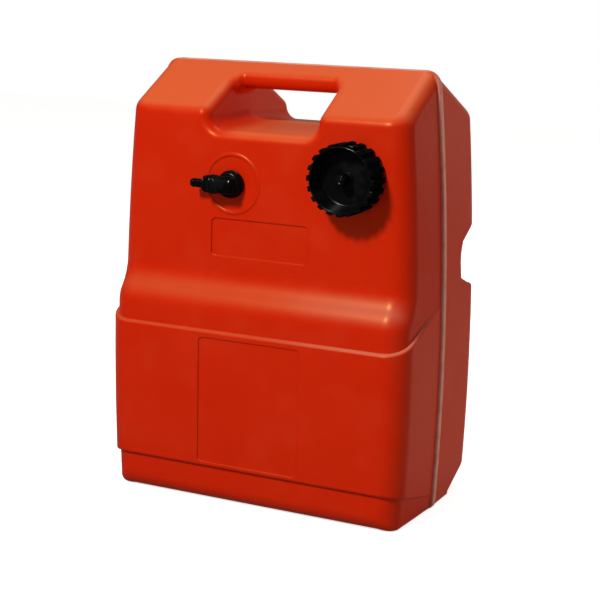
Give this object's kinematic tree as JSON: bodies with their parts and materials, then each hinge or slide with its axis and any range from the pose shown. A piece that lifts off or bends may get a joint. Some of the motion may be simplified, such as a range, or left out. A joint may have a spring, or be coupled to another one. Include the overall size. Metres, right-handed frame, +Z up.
{
  "type": "portable outboard fuel tank",
  "caption": "Upright blow-moulded fuel tank with a hand grip, a finger-lugged vented filler cap and a swivelling hose elbow.",
  "frame": {"origin": "on the base, in the middle of the width, in the plane of the moulding seam", "axes": "+Z up, +Y towards the back; the filler cap and the hose outlet face -Y; +X towards the filler side"},
  "size_m": [0.342, 0.2145, 0.45],
  "materials": {
    "tank_plastic": "blow-moulded polyethylene, satin",
    "black_plastic": "moulded, half gloss",
    "brass": "turned brass",
    "seal_rubber": "moulded nitrile rubber",
    "fuel_tube": "smooth fuel tube",
    "clip_steel": "spring steel",
    "slip_plastic": "smooth natural polyethylene",
    "mesh_nylon": "woven nylon mesh"
  },
  "bodies": {
    "tank": {"tank_shell": "tank_plastic", "outlet_insert": "brass", "outlet_gasket": "seal_rubber", "outlet_fitting": "black_plastic", "spigot_o_ring": "seal_rubber", "pickup_tube": "fuel_tube", "pickup_clip": "clip_steel", "strainer_head": "black_plastic", "strainer_screen": "mesh_nylon", "strainer_foot": "black_plastic"},
    "cap_seal": {"cap_gasket": "seal_rubber"},
    "cap_slip": {"slip_washer": "slip_plastic"},
    "cap": {"cap_shell": "black_plastic", "vent_insert": "black_plastic"},
    "vent_seal": {"vent_o_ring": "seal_rubber"},
    "vent": {"vent_screw": "black_plastic", "vent_clip": "clip_steel"},
    "elbow": {"elbow_body": "black_plastic", "elbow_snap_ring": "clip_steel", "barb_washer": "seal_rubber", "hose_barb": "black_plastic", "barb_nut": "black_plastic"}
  },
  "joints": [
    {"name": "cap_lift_off", "type": "slide", "parent": "tank", "child": "cap_seal", "axis": [0, -1, 0], "range_m": [0, 0.055]},
    {"name": "cap_rise", "type": "slide", "parent": "cap_seal", "child": "cap_slip", "axis": [0, -1, 0], "range_m": [0, 0.0051]},
    {"name": "cap_turn", "type": "hinge", "parent": "cap_slip", "child": "cap", "pos_m": [0.101, -0.0935, 0.3495], "axis": [0, -1, 0], "range_deg": [0, 360]},
    {"name": "vent_rise", "type": "slide", "parent": "cap", "child": "vent_seal", "axis": [0, -1, 0], "range_m": [0, 0.0025]},
    {"name": "vent_turn", "type": "hinge", "parent": "vent_seal", "child": "vent", "pos_m": [0.101, -0.0982, 0.3495], "axis": [0, -1, 0], "range_deg": [0, 720]},
    {"name": "elbow_swivel", "type": "hinge", "parent": "tank", "child": "elbow", "pos_m": [-0.031, -0.0915, 0.3325], "axis": [0, -1, 0], "continuous": true}
  ],
  "couplings": [
    {"joint": "cap_rise", "follows": "cap_turn", "m_per_rad": 0.00079577},
    {"joint": "vent_turn", "follows": "vent_rise", "rad_per_m": 5026.5}
  ]
}
